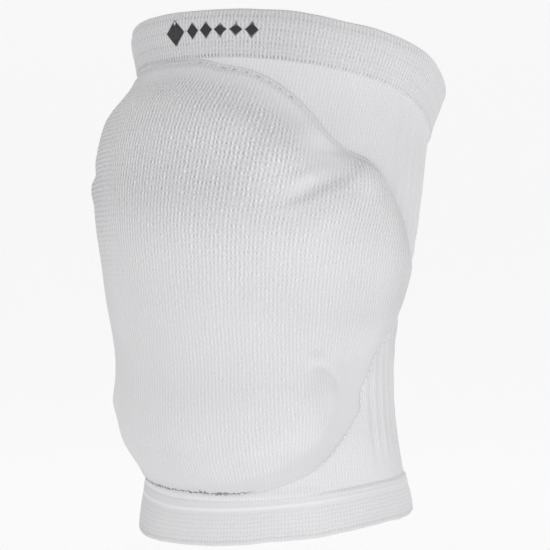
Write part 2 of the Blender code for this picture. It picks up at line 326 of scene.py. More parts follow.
AXIS_MARGIN = 0.02
AXIS_HEIGHTS = np.linspace(-CALF_LENGTH - AXIS_MARGIN, THIGH_LENGTH + AXIS_MARGIN, 500)


def lean_at(height):
    share = ease(height, -BEND_LENGTH, BEND_LENGTH)
    return -CALF_LEAN + (CALF_LEAN + THIGH_LEAN) * share


def run_along_axis(direction):
    step = AXIS_HEIGHTS[1] - AXIS_HEIGHTS[0]
    run = np.cumsum(direction) * step
    return run - np.interp(0.0, AXIS_HEIGHTS, run)


AXIS_BACK = run_along_axis(np.sin(lean_at(AXIS_HEIGHTS)))
AXIS_UP = run_along_axis(np.cos(lean_at(AXIS_HEIGHTS)))


def section_at(height):
    """Half width, front depth and back depth of the sleeve's outside at a height."""
    reach = np.where(height > 0, height / THIGH_LENGTH, height / CALF_LENGTH)
    sizes = []
    for name in ("width", "front", "back"):
        values = [row.radius * getattr(row, name) for row in LEG_SECTIONS]
        sizes.append(smooth_through(reach, column(LEG_SECTIONS, "reach"), values))
    return sizes


def leg_points(angle, height, out):
    """Points at angles from the front, heights along the axis and distances out of the sleeve."""
    angle, height, out = np.broadcast_arrays(angle, height, out)
    width, front, back = section_at(height)
    depth = np.where(np.cos(angle) > 0, front, back)
    across, ahead = width * np.sin(angle), depth * np.cos(angle)
    normal_across, normal_ahead = depth * np.sin(angle), width * np.cos(angle)
    length = np.hypot(normal_across, normal_ahead)
    across = across + out * normal_across / length
    ahead = ahead + out * normal_ahead / length
    lean = lean_at(height)
    y = np.interp(height, AXIS_HEIGHTS, AXIS_BACK) - ahead * np.cos(lean)
    z = np.interp(height, AXIS_HEIGHTS, AXIS_UP) + ahead * np.sin(lean)
    return np.stack([across, y, z], axis=-1)


def rim_share(angle, name):
    turn = np.abs((np.asarray(angle, float) + math.pi) % (2.0 * math.pi) - math.pi)
    return smooth_through(np.degrees(turn), column(RIMS, "degrees"), column(RIMS, name))


def thigh_rim(angle):
    return THIGH_LENGTH * rim_share(angle, "thigh")


def rim_sag(angle):
    return RIM_SAG * hump((np.asarray(angle, float) - RIM_SAG_ANGLE) / RIM_SAG_REACH)


def calf_rim(angle):
    return -CALF_LENGTH * rim_share(angle, "calf") - rim_sag(angle)


def thigh_edge(angle):
    """The thigh cuff's edge toward the knee."""
    return thigh_rim(angle) - THIGH_CUFF_HEIGHT


def calf_edge(angle):
    """The calf cuff's edge toward the knee, which keeps level where the rim below it sags."""
    return calf_rim(angle) + CALF_CUFF_HEIGHT + rim_sag(angle)


def unevenness(angle, height, size):
    """Small soft swells that keep hand-sewn knit from looking machined."""
    a, h = angle, height / 0.01
    waves = (
        np.sin(5 * a + 0.9 * h + 0.4) * np.sin(0.7 * h - 3 * a)
        + 0.6 * np.sin(11 * a - 0.6 * h + 2.0) * np.sin(1.3 * h + 4 * a + 1.0)
        + 0.4 * np.sin(19 * a + 1.7 * h) * np.sin(2.1 * h - 7 * a + 0.5)
    )
    return size * waves


# Meshes

def surface(name, points, knit, masks, close_rows=False):
    """A mesh of a grid whose last column repeats the first, and whose last row may join the first."""
    rows, columns = points.shape[0], points.shape[1] - 1
    mesh = bpy.data.meshes.new(name)
    row_steps = rows if close_rows else rows - 1
    j, i = np.meshgrid(np.arange(row_steps), np.arange(columns), indexing="ij")
    m, n = (j + 1) % rows, (i + 1) % columns
    corners = np.stack([j * columns + i, j * columns + n, m * columns + n, m * columns + i], -1)
    loops = corners.reshape(-1).astype(np.int32)
    count = loops.size // 4
    mesh.vertices.add(rows * columns)
    mesh.vertices.foreach_set("co", points[:, :-1].reshape(-1).astype(np.float32))
    mesh.loops.add(loops.size)
    mesh.loops.foreach_set("vertex_index", loops)
    mesh.polygons.add(count)
    mesh.polygons.foreach_set("loop_start", np.arange(0, loops.size, 4, dtype=np.int32))
    mesh.update(calc_edges=True)
    place = np.stack([knit[j, i], knit[j, i + 1], knit[m, i + 1], knit[m, i]], 2)
    layer = mesh.uv_layers.new(name="knit")
    layer.data.foreach_set("uv", place.reshape(-1).astype(np.float32))
    for mask, values in masks.items():
        attribute = mesh.attributes.new(mask, "FLOAT", "POINT")
        values = np.broadcast_to(values, points.shape[:2])[:, :-1]
        attribute.data.foreach_set("value", values.reshape(-1).astype(np.float32))
    return add_object(name, mesh)


def add_object(name, mesh):
    """A mesh as a smooth object of the scene."""
    mesh.validate()
    mesh.shade_smooth()
    item = bpy.data.objects.new(name, mesh)
    bpy.context.scene.collection.objects.link(item)
    return item


def knit_place(angle, height, course):
    """Place in the knit, counted in wales round the leg and courses up it.

    The bent knee has more courses over its front than behind it.
    """
    angle, height = np.broadcast_arrays(angle, height)
    leaned = angle - KNIT_TWIST * np.clip(height - TWIST_START, 0.0, None)
    bent = height + BENT_COURSES * np.tanh(height / BENT_REACH) * np.clip(np.cos(angle), 0.0, None)
    return np.stack([leaned * WALES / (2.0 * math.pi), bent / course], axis=-1)


def openness(angle, height):
    """How far the knit is stretched open: most over the upper front, least low and to the side."""
    up = ease(height, -0.022, 0.055)
    ahead = ease(np.abs(angle + 0.15), 1.25, 0.35)
    return np.clip(0.22 + 0.78 * up * ahead + 0.42 * up * (1.0 - ahead), 0.0, 1.0)


# Sleeve and cuffs

SLEEVE_COLUMNS = 480
SLEEVE_ROWS = 150
SLEEVE_TUCK = 0.0010
SLEEVE_UNEVENNESS = 0.00010
WRINKLE_RISE = 0.0004
WRINKLE_LENGTH = 0.0021
WELT_RISE = 0.0007
CUFF_UNEVENNESS = 0.00012
RIM_UNEVENNESS = 0.00030


def round_angles():
    return np.linspace(-math.pi, math.pi, SLEEVE_COLUMNS + 1)


def rib_valley(angle):
    """One in the valleys between the ribs behind the knee, and nothing in front of them."""
    turn = angle % (2.0 * math.pi)
    share = (turn - (math.pi - RIB_ZONE)) / (2.0 * RIB_ZONE)
    valley = 0.5 - 0.5 * np.cos(2.0 * math.pi * RIB_COUNT * share)
    return np.where((share > 0) & (share < 1), valley, 0.0)


def slit_share(angle):
    """Where the pocket's lower edge gapes: over the front, fading out at its ends."""
    degrees = np.degrees(angle)
    return ease(degrees, -58, -42) * ease(degrees, 41, 29)


def pocket_ends():
    """The heights of the pocket's top and bottom, just clear of the two cuffs."""
    top_angles = WING_ANGLE * np.array([-POCKET_SEAM[0].left, 0.0, POCKET_SEAM[0].right])
    low_angles = WING_ANGLE * np.array([-POCKET_SEAM[-1].left, 0.0, POCKET_SEAM[-1].right])
    top = np.min(thigh_edge(top_angles)) - SEAM_GAP
    bottom = np.max(calf_edge(low_angles)) + HEM_DROP + SEAM_GAP
    return top, bottom


def build_sleeve():
    """The knitted tube, ribbed behind the knee, with a plain lining."""
    angles = round_angles()
    bottom = calf_edge(angles) - SLEEVE_TUCK
    top = thigh_edge(angles) + SLEEVE_TUCK
    height = bottom + (top - bottom) * np.linspace(0.0, 1.0, SLEEVE_ROWS)[:, None]
    angle = np.broadcast_to(angles, height.shape)
    turn = np.degrees(np.abs(angle))
    lining = angle[::-3], height[::-3]

    fade = smooth_step((height - bottom) / RIB_FADE) * smooth_step((top - height) / RIB_FADE)
    fade = fade * (0.45 + 0.55 * ease(height, 0.035, -0.005))
    fade = fade * (0.25 + 0.75 * ease(height, -0.084, -0.062))
    ribs = rib_valley(angle) * fade
    hollow = ease(np.abs(angle), 1.9, 2.4) * hump((height + 0.004) / 0.045)
    wrinkles = hollow * np.sin(height / WRINKLE_LENGTH + 1.3 * np.sin(4 * angle))
    welt = hump((height - pocket_ends()[1] + HEM_DROP) / 0.0030) * ease(turn, 75, 55)
    out = unevenness(angle, height, SLEEVE_UNEVENNESS) - RIB_DEPTH * ribs
    out = out + WRINKLE_RISE * wrinkles + WELT_RISE * welt
    points = np.concatenate([leg_points(angle, height, out), leg_points(*lining, -SLEEVE_WALL)])
    places = [knit_place(*sides, SLEEVE_COURSE) for sides in ((angle, height), lining)]

    # Painted shading: painted shade high on the right, painted light low down, and a painted shadow
    # under the pocket's wing
    tint = 0.04 * ease(height, 0.045, 0.060) * hump((np.degrees(angle) - 55) / 35)
    low = 0.05 * ease(height, -0.030, -0.050) + 0.04 * ease(height, -0.062, -0.072)
    tint = tint - low * ease(turn, 116, 98)
    # Painted shadow on the sleeve under the pocket's wing
    tint = tint + 0.13 * hump((turn - 128) / 18) * hump((height + 0.028) / 0.016)
    masks = {
        "open": 0.10 + 0.10 * hump((turn - 90) / 90),
        "calm": 0.0,
        # Where painted shade darkens the rib valleys
        "groove": ribs,
        "tint": tint,
        "rows": 0.15,
        "welt": welt,
    }
    for mask, values in masks.items():
        masks[mask] = np.concatenate([np.broadcast_to(values, angle.shape), 0.0 * lining[0]])
    return surface("sleeve_knit", points, np.concatenate(places), masks, close_rows=True)


# Cuff's section: the share of the way from its edge to its rim, and the share of its wall outward
CUFF_PROFILE = (
    (0.000, -1.00),
    (-0.012, -0.60),
    (-0.010, -0.10),
    (0.010, 0.42),
    (0.045, 0.74),
    (0.085, 0.82),
    (0.125, 0.74),
    (0.155, 0.74),
    (0.185, 0.84),
    (0.215, 0.86),
    (0.245, 0.80),
    (0.300, 0.84),
    (0.400, 0.94),
    (0.520, 1.00),
    (0.640, 1.02),
    (0.760, 1.00),
    (0.850, 0.92),
    (0.890, 0.80),
    (0.915, 0.90),
    (0.950, 0.92),
    (0.980, 0.70),
    (0.997, 0.28),
    (1.000, -0.20),
    (0.992, -0.70),
    (0.965, -1.00),
    (0.70, -1.00),
    (0.35, -1.00),
)


def build_cuff(name, rim, edge):
    """A doubled elastic band: a welt where it joins the sleeve, a soft belly and a rolled rim."""
    angle = round_angles()[None, :]
    degrees = np.degrees(angle)
    along, side = (np.array(values)[:, None] for values in zip(*CUFF_PROFILE))
    outer = side > -0.9
    rolled_rim = rim(angle) + unevenness(angle, np.zeros(1), RIM_UNEVENNESS)
    height = edge(angle) + (rolled_rim - edge(angle)) * along
    half = CUFF_WALL / 2.0
    out = half - SLEEVE_WALL + half * side + unevenness(angle, height, CUFF_UNEVENNESS) * outer
    if rim is thigh_rim:
        climb = along * THIGH_CUFF_HEIGHT
        # Painted shade on the thigh cuff, strongest round 40 degrees right of the front and less past
        # its side
        tint = 0.07 + 0.08 * hump((degrees - 40) / 36) - 0.04 * ease(degrees, 70, 90)
        calm, rows = 0.0, 0.25
    else:
        climb = along * CALF_CUFF_HEIGHT
        front = ease(degrees, -40, 0)
        # Painted shading on the calf cuff: painted shade on its left, painted light over its front
        # and right, and darker toward its rim
        tint = 0.09 - 0.16 * front + 0.04 * ease(degrees, 60, 90)
        tint = tint + (0.11 - 0.05 * front) * ease(climb, 0.011, 0.016)
        calm, rows = ease(along, 0.47, 0.22) * (0.3 + 0.7 * ease(degrees, 85, 45)), 0.8
    masks = {
        "open": (0.25 + 0.75 * openness(angle, height)) * outer,
        "calm": calm,
        "groove": 0.0,
        "tint": tint,
        "climb": climb * 1000.0,
        "rows": rows,
    }
    place = np.broadcast_arrays(angle * WALES / (2.0 * math.pi), climb / CUFF_COURSE)
    knit = np.stack(place, axis=-1)
    return surface(name, leg_points(angle, height, out), knit, masks, close_rows=True)


# Padded pocket

POCKET_ROWS = 190
POCKET_COLUMNS = 210
PLAN_STEP = 0.0010
PLAN_MARGIN = 0.004
DRAPE_STEPS = 260
SMOOTHING_STEPS = 6
FOAM_CROWN = 2.2
SEAM_HOLD = 0.0012
SEAM_STEPS = 160
FOAM_STEPS = 200
CREASE_STEPS = 60
SHORTEST_STEP = 1e-9
COVER_LIFT = 0.0001
COVER_UNEVENNESS = 0.00016
SLIT_LIFT = 0.0008


def height_of(share):
    top, bottom = pocket_ends()
    share = np.asarray(share, float)
    return np.where(share > 0, share * top, -share * bottom)


def outline_curve(rows, steps):
    at = np.linspace(0.0, len(rows) - 1.0, steps)
    index = np.arange(len(rows))
    return [smooth_through(at, index, column(rows, name)) for name in ("height", "left", "right")]


def outline_loop(rows, steps):
    """The closed outline of a table as flat points: metres round the knee, metres up the leg."""
    share, left, right = outline_curve(rows, steps)
    heights = height_of(share)
    x = np.concatenate([right, -left[::-1]]) * WING_ANGLE * KNEE_RADIUS
    return np.stack([x, np.concatenate([heights, heights[::-1]])], -1)


def way_to_segment(x, y, a, b):
    """How far along a segment each point's nearest place lies, and the step from there to it."""
    ex, ey = b[0] - a[0], b[1] - a[1]
    along = np.clip(((x - a[0]) * ex + (y - a[1]) * ey) / (ex * ex + ey * ey), 0.0, 1.0)
    return along, x - a[0] - along * ex, y - a[1] - along * ey


def outline_distance(loop, x, y):
    """Distance inside a closed outline, negative outside it, and the way run along it."""
    nearest = np.full(x.shape, np.inf)
    way = np.zeros(x.shape)
    inside = np.zeros(x.shape, bool)
    run = 0.0
    for a, b in zip(loop, np.roll(loop, -1, axis=0)):
        length = math.hypot(*(b - a))
        if length < SHORTEST_STEP:
            continue
        along, dx, dy = way_to_segment(x, y, a, b)
        distance = np.hypot(dx, dy)
        closer = distance < nearest
        nearest = np.where(closer, distance, nearest)
        way = np.where(closer, run + along * length, way)
        if a[1] != b[1]:
            crossed = (a[1] > y) != (b[1] > y)
            inside ^= crossed & (x < a[0] + (y - a[1]) * (b[0] - a[0]) / (b[1] - a[1]))
        run += length
    return np.where(inside, nearest, -nearest), way


def full_foam(angle, height):
    heights = height_of(column(FOAM_SECTIONS, "height"))
    front = smooth_through(height, heights, column(FOAM_SECTIONS, "front"))
    side = smooth_through(height, heights, column(FOAM_SECTIONS, "side"))
    turn = (np.abs(angle) - FOAM_FRONT_ANGLE) / (FOAM_SIDE_ANGLE - FOAM_FRONT_ANGLE)
    return FOAM_THICKNESS * (front + (side - front) * smooth_step(turn))


def neighbours(field):
    """The sum of the four neighbours of each inner point of a grid."""
    return field[:-2, 1:-1] + field[2:, 1:-1] + field[1:-1, :-2] + field[1:-1, 2:]


def drape_knit():
    """Lay the stretched knit over the foam: it bridges the creases and comes down to the seam."""
    reach = WING_ANGLE * KNEE_RADIUS + PLAN_MARGIN
    top, bottom = pocket_ends()
    xs = np.arange(-reach, reach, PLAN_STEP)
    ys = np.arange(bottom - PLAN_MARGIN, top + PLAN_MARGIN, PLAN_STEP)
    x, y = np.meshgrid(xs, ys)
    seam, _ = outline_distance(outline_loop(POCKET_SEAM, SEAM_STEPS), x, y)
    depth, _ = outline_distance(outline_loop(FOAM_OUTLINE, FOAM_STEPS), x, y)
    inward = np.clip(depth / FOAM_ROLL, 0.0, 1.0)
    rolled = FOAM_EDGE + (1.0 - FOAM_EDGE) * (1.0 - (1.0 - inward) ** FOAM_CROWN)
    foam = np.where(depth > 0, rolled, 0.0) * full_foam(x / KNEE_RADIUS, y)
    knit = foam.copy()
    for _ in range(DRAPE_STEPS):
        mean = knit.copy()
        mean[1:-1, 1:-1] = neighbours(knit) / 4
        knit = np.where(seam <= SEAM_HOLD, 0.0, np.maximum(foam, mean))
    for _ in range(SMOOTHING_STEPS):
        knit[1:-1, 1:-1] = (4 * knit[1:-1, 1:-1] + neighbours(knit)) / 8
    return xs, ys, knit, depth


def between(field, j, i):
    """Values of a grid at rows j and columns i that needn't be whole numbers."""
    j0 = np.clip(j.astype(int), 0, field.shape[0] - 2)
    i0 = np.clip(i.astype(int), 0, field.shape[1] - 2)
    v, u = j - j0, i - i0
    if field.ndim == 3:
        v, u = v[..., None], u[..., None]
    low = field[j0, i0] * (1 - u) + field[j0, i0 + 1] * u
    high = field[j0 + 1, i0] * (1 - u) + field[j0 + 1, i0 + 1] * u
    return low * (1 - v) + high * v


def sample(xs, ys, field, x, y):
    """Values of a flat field of the plan at places on it."""
    j = np.clip((y - ys[0]) / PLAN_STEP, 0, len(ys) - 1)
    i = np.clip((x - xs[0]) / PLAN_STEP, 0, len(xs) - 1)
    return between(field, j, i)


def spread(coarse, rows, columns):
    """Values of a coarse grid on one with more rows and columns."""
    j = np.linspace(0.0, coarse.shape[0] - 1.0, rows)
    i = np.linspace(0.0, coarse.shape[1] - 1.0, columns)
    return between(coarse, *np.meshgrid(j, i, indexing="ij"))


def pocket_grid():
    share, left, right = outline_curve(POCKET_SEAM[::-1], POCKET_ROWS)
    across = np.linspace(0.0, 1.0, POCKET_COLUMNS)[None, :]
    angle = WING_ANGLE * (-left[:, None] + (left + right)[:, None] * across)
    height = np.broadcast_to(height_of(share)[:, None], angle.shape)
    return angle, height


def crease_dent(crease, angle, height, lobe_side):
    """A pressed crease: steep on the wing's or lower side, easing off over the lobe it meets."""
    at = np.linspace(0.0, len(crease) - 1.0, CREASE_STEPS)
    index = np.arange(len(crease))
    degrees, up, deep = (
        smooth_through(at, index, column(crease, name)) for name in ("degrees", "height", "depth")
    )
    path = np.stack([np.radians(degrees) * KNEE_RADIUS, up / 1000.0], axis=-1)
    x = angle * KNEE_RADIUS
    nearest = np.full(angle.shape, np.inf)
    side = np.zeros(angle.shape)
    depth = np.zeros(angle.shape)
    for k in range(CREASE_STEPS - 1):
        along, dx, dy = way_to_segment(x, height, path[k], path[k + 1])
        distance = np.hypot(dx, dy)
        closer = distance < nearest
        nearest = np.where(closer, distance, nearest)
        ex, ey = path[k + 1] - path[k]
        side = np.where(closer, np.sign(ex * dy - ey * dx), side)
        depth = np.where(closer, deep[k] + along * (deep[k + 1] - deep[k]), depth)
    width = np.where(side * lobe_side > 0, CREASE_LOBE_WIDTH, CREASE_WING_WIDTH)
    share = np.clip(1.0 - nearest / width, 0.0, 1.0)
    return depth / 1000.0 * share ** 1.5 * (1.5 - 0.5 * share)


def all_creases(angle, height):
    return sum(crease_dent(crease, angle, height, lobe_side) for crease, lobe_side in CREASES)


def swells(angle, height):
    """How far the swells beside the creases lift or lower the knit."""
    total = 0.0 * angle
    for swell in SWELLS:
        across = (angle - math.radians(swell.degrees)) * KNEE_RADIUS
        up = height - swell.height / 1000.0
        total = total + swell.rise * hump(np.hypot(across, up) * 1000.0 / swell.reach)
    return total / 1000.0


def settle_as_cloth(cover, foam, held):
    """Let the stretched cover settle on the foam as cloth, pinned at its seam and creases."""
    scene = bpy.context.scene
    sheets = []
    for name, points in (("settling_cover", cover), ("settling_foam", foam)):
        mesh = bpy.data.meshes.new(name)
        rows, columns = points.shape[:2]
        j, i = np.meshgrid(np.arange(rows - 1), np.arange(columns - 1), indexing="ij")
        k = j * columns + i
        faces = np.stack([k, k + 1, k + columns + 1, k + columns], -1).reshape(-1, 4)
        mesh.from_pydata((points.reshape(-1, 3) * CLOTH_SCALE).tolist(), [], faces.tolist())
        mesh.update()
        item = bpy.data.objects.new(name, mesh)
        scene.collection.objects.link(item)
        sheets.append(item)
    sheet, pad = sheets
    pad.modifiers.new("Collision", "COLLISION")
    pad.collision.thickness_outer = 0.001
    pad.collision.use_culling = False
    pinned = sheet.vertex_groups.new(name="seam")
    pinned.add(np.flatnonzero(held.reshape(-1)).tolist(), 1.0, "REPLACE")
    cloth = sheet.modifiers.new("Cloth", "CLOTH")
    cloth.settings.quality = 6
    cloth.settings.vertex_group_mass = "seam"
    cloth.settings.effector_weights.gravity = 0.0
    cloth.settings.shrink_min = CLOTH_STRETCH
    cloth.settings.bending_stiffness = 0.05
    cloth.settings.air_damping = 4.0
    cloth.collision_settings.distance_min = 0.001
    cloth.collision_settings.collision_quality = 3
    for frame in range(1, CLOTH_FRAMES + 1):
        scene.frame_set(frame)
    settled = sheet.evaluated_get(bpy.context.evaluated_depsgraph_get())
    flat = np.empty(len(settled.data.vertices) * 3)
    settled.data.vertices.foreach_get("co", flat)
    scene.frame_set(1)
    for item in sheets:
        mesh = item.data
        bpy.data.objects.remove(item)
        bpy.data.meshes.remove(mesh)
    moved = flat.reshape(cover.shape) / CLOTH_SCALE - cover
    for _ in range(3):
        moved[1:-1, 1:-1] = (2 * moved[1:-1, 1:-1] + neighbours(moved)) / 6
    length = np.linalg.norm(moved, axis=-1, keepdims=True)
    return cover + moved * np.minimum(1.0, CLOTH_REACH / np.maximum(length, 1e-9))


# Patches of painted shade on the pocket, painted light where the amount is negative: degrees,
# millimetres and how much darker
Patch = namedtuple("Patch", "degrees height wide tall tint")
PATCHES = (
    Patch(41, 43, 12, 12, 0.06),
    Patch(59, 51, 12, 9, -0.15),
    Patch(74, 38, 11, 9, -0.13),
    Patch(61, -38, 7, 6, 0.02),
)


def pocket_painted_shading(degrees, up, beyond_foam, knob):
    """How much painted shade darkens the pocket's knit, painted light where negative, in degrees
    round the knee and millimetres up it.
    """
    turn = np.abs(degrees)
    # Painted shade on the wings, on the sides that turn away, on the left edge and high on the left;
    # painted light along the top
    tint = 0.045 * ease(turn, 62, 74) * ease(up, 5, 25) + 0.11 * ease(turn, 87, 99)
    tint = tint + 0.08 * ease(degrees, -16, -30) * ease(up, -45, -25)
    tint = tint + 0.07 * ease(degrees, -4, -20) * ease(up, 37, 47) - 0.06 * ease(up, 56, 64)
    # Painted shade on the low band beside the foam, along the bottom, across the upper front and on
    # the lower right
    tint = tint + 0.05 * beyond_foam * ease(up, -20, -40) + 0.05 * ease(up, -60, -72)
    tint = tint + 0.09 * hump((up - 27) / 21) * ease(degrees, 50, 36)
    tint = tint + 0.06 * hump((up + 14) / 24) * ease(degrees, 36, 52)
    for patch in PATCHES:
        away = np.hypot((degrees - patch.degrees) / patch.wide, (up - patch.height) / patch.tall)
        tint = tint + patch.tint * hump(away)
    # Painted highlight on the knob above the upper right crease
    return tint - 0.11 * hump(knob / 1.2)


def build_pocket():
    """The padded pocket: its cover draped over the foam, creased, and settled as cloth."""
    angle, height = pocket_grid()
    degrees, up = np.degrees(angle), height * 1000.0
    turn = np.abs(degrees)
    x = angle * KNEE_RADIUS
    xs, ys, knit, depth = drape_knit()
    seam, way = outline_distance(outline_loop(POCKET_SEAM, SEAM_STEPS), x, height)
    dent = all_creases(angle, height)
    rise = np.maximum(sample(xs, ys, knit, x, height) - dent + swells(angle, height), 0.0)

    thin = (slice(None, None, CLOTH_THINNING), slice(None, None, CLOTH_THINNING))
    top_side = rise[thin] + POCKET_KNIT
    cover = leg_points(angle[thin], height[thin], top_side)
    foam = leg_points(angle[thin], height[thin], top_side - CLOTH_CLEARANCE)
    held = (seam[thin] < CLOTH_SEAM_PIN) | (dent[thin] > CLOTH_CREASE_PIN)
    moved = settle_as_cloth(cover, foam, held) - cover

    wing = ease(turn, 70, 78) * ease(up, 10, 20)
    top_front = ease(up, 45, 55) * ease(turn, 58, 48)
    above_hem = height - height[0, 0]
    out = COVER_LIFT + (POCKET_KNIT + COVER_LIFT) * (0.18 + 0.82 * ease(seam, 0.0, 0.0030)) + rise
    out = out + unevenness(angle, height, COVER_UNEVENNESS) * ease(seam, 0.0, 0.010)
    out = out - (0.0002 * top_front + 0.0007 * wing) * hump((seam - 0.0022) / 0.0014)
    out = out + 0.0004 * wing * hump((seam - 0.0008) / 0.0009)
    out = out + SLIT_LIFT * slit_share(angle) * hump(above_hem / 0.0042)
    settled = spread(moved, *angle.shape) * ease(seam, 0.002, 0.008)[..., None]
    outside = leg_points(angle, height, out) + settled
    inside = leg_points(angle, height, np.where(seam < 0.0006, COVER_LIFT, 2 * COVER_LIFT))

    beyond_foam = ease(sample(xs, ys, depth, x, height), 0.0018, -0.0012)
    knob = np.hypot((degrees - 54.5) / 5.0, (up - 34.6) / 3.6 - (degrees - 54.5) / 7.0)
    clear_stitches = ease(degrees, 6, 12) * ease(degrees, 56, 46)
    faint_stitches = ease(degrees, -50, -30) * ease(degrees, 12, 6)
    return close_pad("pocket_knit_cover", angle, height, outside, inside, {
        "open": openness(angle, height),
        "calm": np.maximum(beyond_foam, 0.9 * hump(knob / 1.3)),
        # Painted shading, with a painted highlight on the knob
        "tint": pocket_painted_shading(degrees, up, beyond_foam, knob),
        "rows": 0.9 * ease(degrees, -2, -28) * ease(up, -10, 20),
        "groove": np.zeros(angle.shape),
        # Painted shade in the groove along the seam, most on the wings
        "shade": 0.03 + 0.30 * wing + 0.02 * top_front,
        "seam": seam * 1000.0,
        "way": way * 1000.0,
        # Where painted shade shows in the stitch holes of the top seam
        "dashes": ease(up, 45, 55) * (clear_stitches + 0.4 * faint_stitches),
        # Where the painted shadow of the slit shows
        "slit": slit_share(angle) * ease(above_hem, 0.020, 0.015),
    })


def close_pad(name, angle, height, outside, inside, masks):
    """A closed pad from two like grids that share the ring of points round their edge."""

    def both(front, back):
        return np.concatenate([front, back[:, ::-1], front[:, :1]], axis=1)

    knit = knit_place(angle, height, POCKET_COURSE)
    masks = {mask: both(values, values) for mask, values in masks.items()}
    pad = surface(name, both(outside, inside), both(knit, knit), masks)
    close_ends(pad.data, *angle.shape)
    return pad


def close_ends(mesh, rows, columns):
    """Fill the first and last rows of a flattened tube, so that it becomes a closed pad."""
    bm = bmesh.new()
    bm.from_mesh(mesh)
    bm.verts.ensure_lookup_table()
    width = 2 * columns
    for row, turn in ((0, 1), (rows - 1, -1)):
        ring = [bm.verts[row * width + k] for k in range(width)]
        for k in range(columns - 1):
            a, b = ring[k], ring[k + 1]
            c, d = ring[width - 2 - k], ring[width - 1 - k]
            bm.faces.new((a, d, c, b)[::turn])
    bm.normal_update()
    bm.to_mesh(mesh)
    bm.free()
    mesh.shade_smooth()


# Thread

THREAD_SIDES = 8
THREAD_RINGS = 5


def thread_mesh(name, ends, thickness):
    """Short round stitches, each from one end to the other, tapering into the cloth."""
    start, finish, normal = np.moveaxis(np.asarray(ends, float), 1, 0)
    along = finish - start
    side = np.cross(along, normal)
    side /= np.linalg.norm(side, axis=1, keepdims=True)
    t = np.linspace(0.0, 1.0, THREAD_RINGS)[:, None]
    arch = np.sin(math.pi * t)
    turn = np.linspace(0.0, 2.0 * math.pi, THREAD_SIDES, endpoint=False)
    radius = thickness / 2.0 * (0.45 + 0.55 * arch ** 0.6)
    centre = start[:, None] + along[:, None] * t
    centre = centre + normal[:, None] * (thickness * (0.5 * arch - 0.25))
    across, raised = np.cos(turn) * radius, 0.7 * np.sin(turn) * radius
    ring = (
        centre[:, :, None]
        + side[:, None, None] * across[None, :, :, None]
        + normal[:, None, None] * raised[None, :, :, None]
    )
    faces = []
    for stitch in np.arange(ring.size // 3).reshape(ring.shape[:3]).tolist():
        for low, high in zip(stitch, stitch[1:]):
            for s in range(THREAD_SIDES):
                n = (s + 1) % THREAD_SIDES
                faces.append((low[s], low[n], high[n], high[s]))
        faces += [stitch[0][::-1], stitch[-1]]
    mesh = bpy.data.meshes.new(name)
    mesh.from_pydata(ring.reshape(-1, 3).tolist(), [], faces)
    mesh.update()
    return add_object(name, mesh)


def surface_frame(angle, height, out):
    """A point on the leg and the direction out of it."""
    point = leg_points(angle, height, out)
    normal = leg_points(angle, height, out + 0.001) - point
    return point, normal / np.linalg.norm(normal, axis=-1, keepdims=True)


STITCH_PITCH = 0.0031
STITCH_LENGTH = 0.0019
STITCH_THICKNESS = 0.0005
STITCH_INSET = 0.0009
STITCH_RISE = 0.0012
STITCH_MARGIN = 0.004
STITCH_TOP = 0.046
STITCH_BOTTOM = -0.076
SEAM_FINE_STEPS = 900


def build_stitching():
    """Pale running stitches along the pocket's seam, from the wings down to its lower lobe."""
    share, left, right = outline_curve(POCKET_SEAM, SEAM_FINE_STEPS)
    height = height_of(share)
    ends = []
    for side in (left * -WING_ANGLE, right * WING_ANGLE):
        x = side * KNEE_RADIUS
        run = np.concatenate([[0.0], np.cumsum(np.hypot(np.diff(x), np.diff(height)))])
        inward = -np.sign(np.mean(side))
        for at in np.arange(STITCH_MARGIN, run[-1] - STITCH_MARGIN, STITCH_PITCH):
            across = np.interp([at, at + STITCH_LENGTH], run, x)
            up = np.interp([at, at + STITCH_LENGTH], run, height)
            if not STITCH_BOTTOM <= up[0] <= STITCH_TOP:
                continue
            way = np.array([across[1] - across[0], up[1] - up[0]])
            way /= np.hypot(*way)
            toward = np.array([-way[1], way[0]]) * (1 if -way[1] * inward > 0 else -1)
            angle = (across + toward[0] * STITCH_INSET) / KNEE_RADIUS
            level = up + toward[1] * STITCH_INSET
            low, normal = surface_frame(angle[0], level[0], STITCH_RISE)
            high, _ = surface_frame(angle[1], level[1], STITCH_RISE)
            ends.append((low, high, normal))
    return thread_mesh("seam_stitching", ends, STITCH_THICKNESS)


CUFF_FACE = CUFF_WALL - SLEEVE_WALL
MARK_ANGLE = math.radians(21)
MARK_HEIGHT = 0.0088
MARK_STITCH = 0.00042
MARK_OVERLAP = 0.8
MARK_LIFT = 0.0001
MARK_TIP = 0.92

Diamond = namedtuple("Diamond", "across half_width half_height")
MARK_DIAMONDS = (
    Diamond(-0.0222, 0.0052, 0.0054),
    Diamond(-0.0128, 0.0028, 0.0035),
    Diamond(-0.0062, 0.0028, 0.0035),
    Diamond(0.0004, 0.0028, 0.0035),
    Diamond(0.0070, 0.0028, 0.0035),
    Diamond(0.0136, 0.0028, 0.0035),
)


def build_mark():
    """A plain row of embroidered diamonds on the thigh cuff, in upright satin stitches."""
    ends = []
    for diamond in MARK_DIAMONDS:
        steps = int(2 * diamond.half_width / (MARK_OVERLAP * MARK_STITCH))
        for across in np.linspace(-MARK_TIP, MARK_TIP, steps):
            reach = diamond.half_height * (1.0 - abs(across))
            angle = MARK_ANGLE + (diamond.across + across * diamond.half_width) / THIGH_RADIUS
            middle = thigh_rim(angle) - MARK_HEIGHT
            low, normal = surface_frame(angle, middle - reach, CUFF_FACE + MARK_LIFT)
            high, _ = surface_frame(angle, middle + reach, CUFF_FACE + MARK_LIFT)
            ends.append((low, high, normal))
    return thread_mesh("cuff_embroidery", ends, MARK_STITCH)


# Shaders

